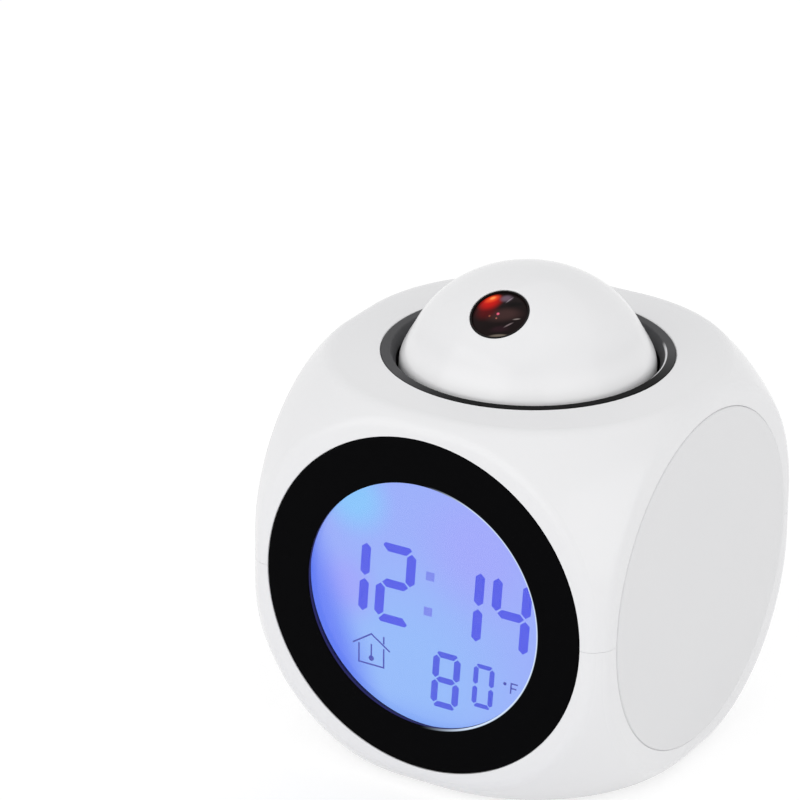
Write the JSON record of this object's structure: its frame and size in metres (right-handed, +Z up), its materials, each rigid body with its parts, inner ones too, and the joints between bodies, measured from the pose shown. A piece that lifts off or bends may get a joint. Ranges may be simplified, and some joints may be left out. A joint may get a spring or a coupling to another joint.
{
  "type": "projection alarm clock",
  "caption": "Rounded-cube alarm clock with a round lit display, round side discs and a turning, pressable projector dome in a well on top.",
  "frame": {"origin": "under the middle of the clock, on the plane that its feet rest on", "axes": "+Z up; the display faces -Y; +X is to the right as one looks at the display"},
  "size_m": [0.0824, 0.082, 0.0989],
  "materials": {
    "white_gloss": "glossy white moulded plastic",
    "black_plastic": "black moulded plastic with a soft sheen",
    "clear_window": "clear acrylic",
    "display_cell": "display cell, lit violet blue from behind",
    "light_guide": "frosted acrylic",
    "lamp_body": "small white lamp housings",
    "soft_rubber": "soft foam or silicone rubber",
    "white_inner": "unpolished white plastic",
    "black_inner": "unpolished black plastic",
    "board_green": "green solder mask on glass-fibre board",
    "black_epoxy": "moulded epoxy",
    "screw_steel": "plated steel",
    "spring_steel": "nickel-plated spring steel",
    "lens_glass": "clear moulded optic",
    "red_lamp": "red light-emitting diode",
    "switch_black": "black switch housings",
    "foot_rubber": "black rubber",
    "cell_wrap": "plain dark wrap with bare ends",
    "button_plastic": "glossy white caps",
    "speaker_metal": "black lacquered steel basket"
  },
  "bodies": {
    "housing": {"upper_shell": "white_gloss", "lower_shell": "white_gloss", "side_disc_right": "white_gloss", "side_disc_left": "white_gloss", "back_panel": "white_gloss", "front_bezel": "black_plastic", "well_ring": "black_plastic", "lcd_window": "clear_window", "lcd_glass": "display_cell", "backlight_guide": "light_guide", "backlight_leds": "lamp_body", "contact_strip": "soft_rubber", "window_gasket": "soft_rubber", "lcd_frame": "white_inner", "main_board": "board_green", "main_chip": "black_epoxy", "temperature_sensor": "black_epoxy", "display_screws": "screw_steel", "return_pad": "soft_rubber", "projector_tray": "black_inner", "tray_screws": "screw_steel", "snooze_board": "board_green", "snooze_switch": "switch_black", "case_screws": "screw_steel", "rubber_feet": "foot_rubber", "batteries": "cell_wrap", "battery_contacts": "spring_steel", "button_board": "board_green", "button_switches": "switch_black", "board_screws": "screw_steel", "speaker": "speaker_metal", "speaker_gasket": "soft_rubber"},
    "carrier": {"press_carrier": "black_plastic"},
    "dome": {"projector_dome": "white_gloss", "dome_base": "black_inner", "retaining_clip": "spring_steel", "lens_barrel": "black_inner", "projector_lens": "lens_glass", "projector_slide": "display_cell", "condenser_lens": "lens_glass", "projector_led": "red_lamp", "projector_board": "board_green"},
    "button_mode": {"button_mode": "button_plastic"},
    "button_set": {"button_set": "button_plastic"},
    "button_up": {"button_up": "button_plastic"},
    "button_down": {"button_down": "button_plastic"},
    "battery_door": {"battery_door": "white_gloss"}
  },
  "joints": [
    {"name": "dome_press", "type": "slide", "parent": "housing", "child": "carrier", "axis": [0, 0, -1], "range_m": [0, 0.0012], "stiffness_N_per_m": 900, "springref_m": -0.0006, "deforming": ["return_pad"]},
    {"name": "dome_turn", "type": "hinge", "parent": "carrier", "child": "dome", "pos_m": [0, 0, 0.0709], "axis": [0, 0, 1], "range_deg": [-90, 90]},
    {"name": "button_mode_press", "type": "slide", "parent": "housing", "child": "button_mode", "axis": [0, -1, 0], "range_m": [0, 0.0008], "stiffness_N_per_m": 500, "springref_m": -0.0004},
    {"name": "button_set_press", "type": "slide", "parent": "housing", "child": "button_set", "axis": [0, -1, 0], "range_m": [0, 0.0008], "stiffness_N_per_m": 500, "springref_m": -0.0004},
    {"name": "button_up_press", "type": "slide", "parent": "housing", "child": "button_up", "axis": [0, -1, 0], "range_m": [0, 0.0008], "stiffness_N_per_m": 500, "springref_m": -0.0004},
    {"name": "button_down_press", "type": "slide", "parent": "housing", "child": "button_down", "axis": [0, -1, 0], "range_m": [0, 0.0008], "stiffness_N_per_m": 500, "springref_m": -0.0004},
    {"name": "door_hinge", "type": "hinge", "parent": "housing", "child": "battery_door", "pos_m": [0, 0.0301, 0.0019], "axis": [1, 0, 0], "range_deg": [0, 60]}
  ]
}
